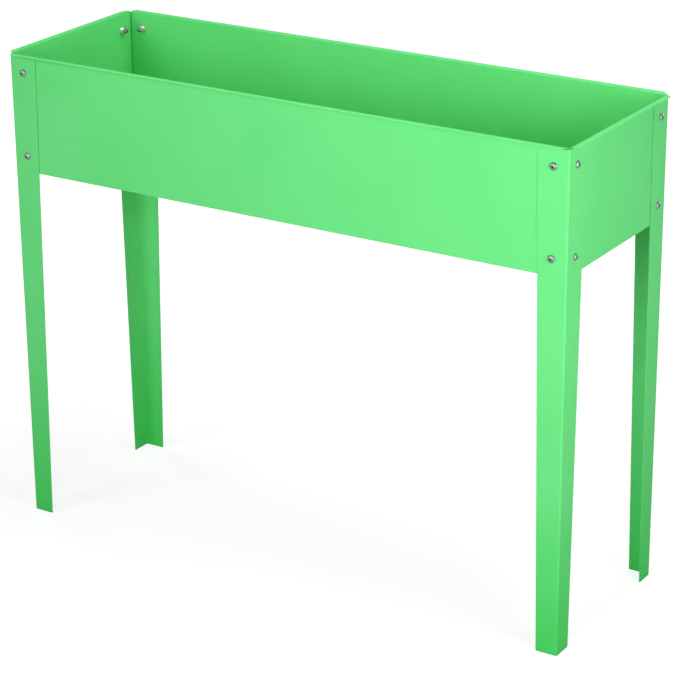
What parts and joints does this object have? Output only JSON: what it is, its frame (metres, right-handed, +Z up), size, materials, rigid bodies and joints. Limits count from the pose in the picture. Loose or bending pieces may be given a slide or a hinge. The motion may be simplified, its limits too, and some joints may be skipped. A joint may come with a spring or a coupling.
{
  "type": "raised garden bed",
  "caption": "Rectangular sheet-metal planting trough with an outturned rim, standing waist-high on tapered angle legs bolted to its corners, with a drained floor tray.",
  "frame": {"origin": "on the ground, under the middle of the bed", "axes": "+X along the bed's length to the right, -Y towards the front, +Z up"},
  "size_m": [1.016, 0.336, 0.8],
  "materials": {
    "green_coat": "semi-matte green powder coat",
    "zinc_bolts": "bright zinc plate",
    "zinc_washers": "bright zinc plate",
    "zinc_nuts": "bright zinc plate"
  },
  "bodies": {
    "root": {"front_panel": "green_coat", "back_panel": "green_coat", "left_panel": "green_coat", "right_panel": "green_coat", "base_tray": "green_coat", "front_left_leg": "green_coat", "front_right_leg": "green_coat", "back_left_leg": "green_coat", "back_right_leg": "green_coat", "front_left_bolts": "zinc_bolts", "front_right_bolts": "zinc_bolts", "back_left_bolts": "zinc_bolts", "back_right_bolts": "zinc_bolts", "front_left_washers": "zinc_washers", "front_right_washers": "zinc_washers", "back_left_washers": "zinc_washers", "back_right_washers": "zinc_washers", "front_left_nuts": "zinc_nuts", "front_right_nuts": "zinc_nuts", "back_left_nuts": "zinc_nuts", "back_right_nuts": "zinc_nuts"}
  },
  "joints": []
}
